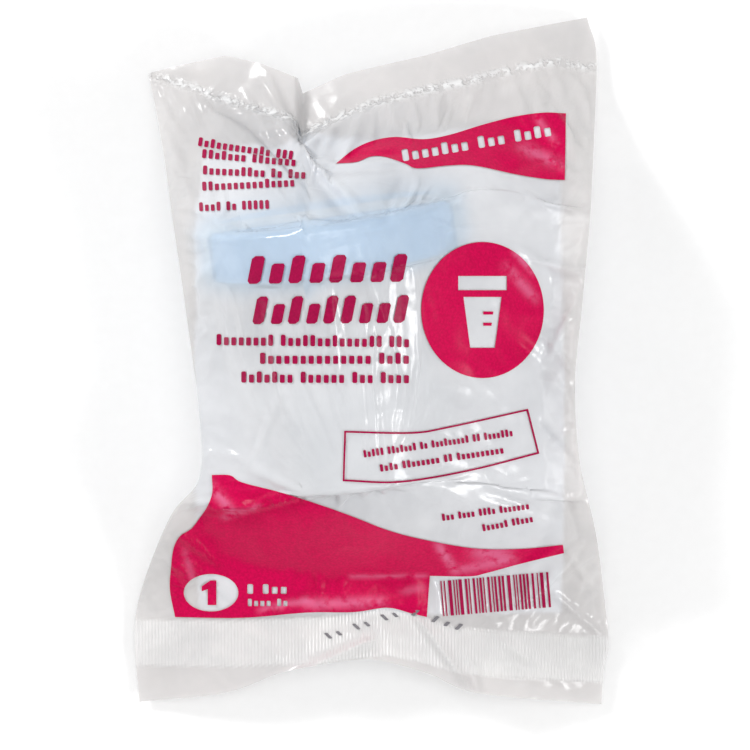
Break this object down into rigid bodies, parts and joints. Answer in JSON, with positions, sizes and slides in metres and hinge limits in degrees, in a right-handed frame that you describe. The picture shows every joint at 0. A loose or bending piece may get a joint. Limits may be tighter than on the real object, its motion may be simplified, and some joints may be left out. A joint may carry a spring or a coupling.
{
  "type": "specimen container",
  "caption": "Sealed film pouch with magenta print that holds a screw-lid specimen cup with a light blue lid.",
  "frame": {"origin": "middle of the footprint of the pouch as it lies on its back, on the surface it rests on", "axes": "+Z out of the printed front of the pouch, +Y to the top seal, +X to the right of a reader of the front"},
  "size_m": [0.1262, 0.1864, 0.07],
  "materials": {
    "milky_film": "milky translucent polyethylene film, soft gloss",
    "clear_plastic": "translucent moulded polypropylene",
    "blue_plastic": "light blue moulded polyethylene",
    "white_paper": "white adhesive paper strip",
    "magenta_ink": "magenta ink printed on film"
  },
  "bodies": {
    "root": {"pouch": "milky_film", "cup": "clear_plastic", "lid": "blue_plastic", "tamper_seal": "white_paper", "print_upper": "magenta_ink", "print_lower": "magenta_ink", "print_badge": "magenta_ink"}
  },
  "joints": []
}
